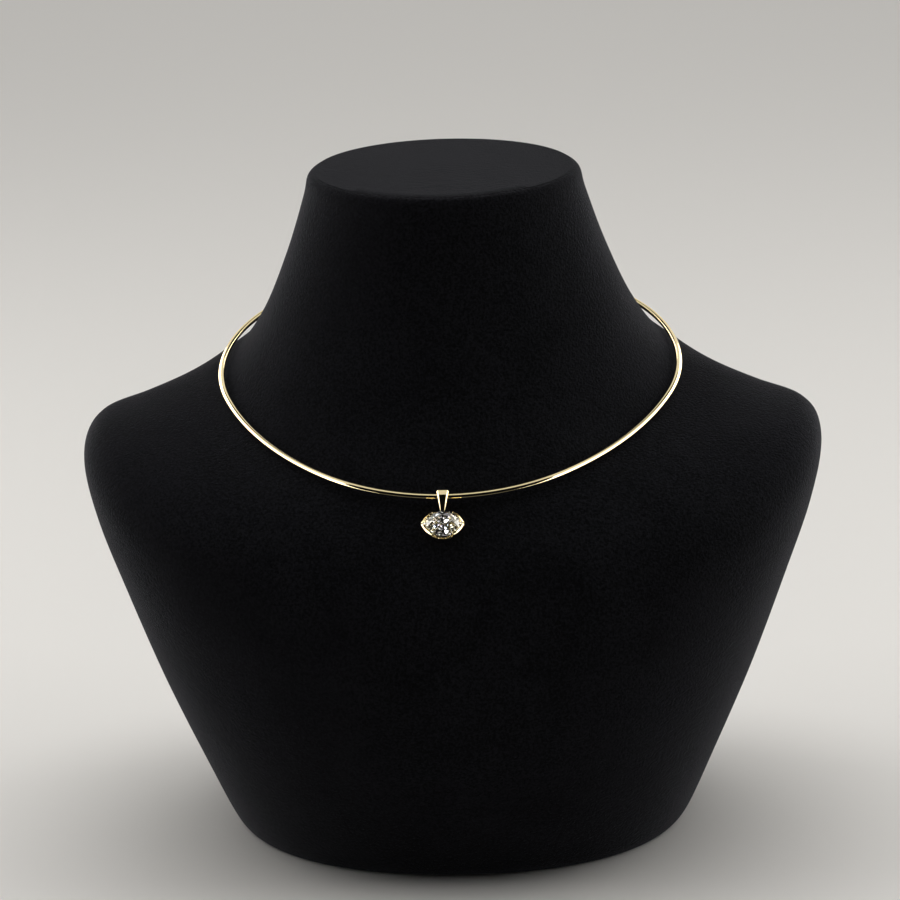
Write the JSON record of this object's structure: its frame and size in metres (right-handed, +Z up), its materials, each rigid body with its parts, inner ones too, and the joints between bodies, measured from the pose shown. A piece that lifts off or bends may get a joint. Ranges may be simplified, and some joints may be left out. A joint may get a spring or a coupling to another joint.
{
  "type": "solitaire pendant necklace on neck bust",
  "caption": "Rigid round gold neckwire with a tapered bail and an east-west marquise solitaire in a segmented bezel, held on a plain black velvet neck bust.",
  "frame": {"origin": "middle of the bounding box, at the base that the bust stands on", "axes": "+Z up, -Y the front where the pendant lies, +X to the right of a viewer in front"},
  "size_m": [0.223, 0.1386, 0.2037],
  "materials": {
    "velvet": "short black velvet pile",
    "gold": "polished pale yellow gold",
    "diamond": "polished brilliant cut"
  },
  "bodies": {
    "display": {"bust": "velvet", "neckwire": "gold", "clasp": "gold"},
    "pendant": {"bail_setting": "gold", "stone": "diamond"}
  },
  "joints": [
    {"name": "pendant_swing", "type": "hinge", "parent": "display", "child": "pendant", "pos_m": [0, -0.05351, 0.12112], "axis": [-1, 0, 0], "range_deg": [0, 165]}
  ]
}
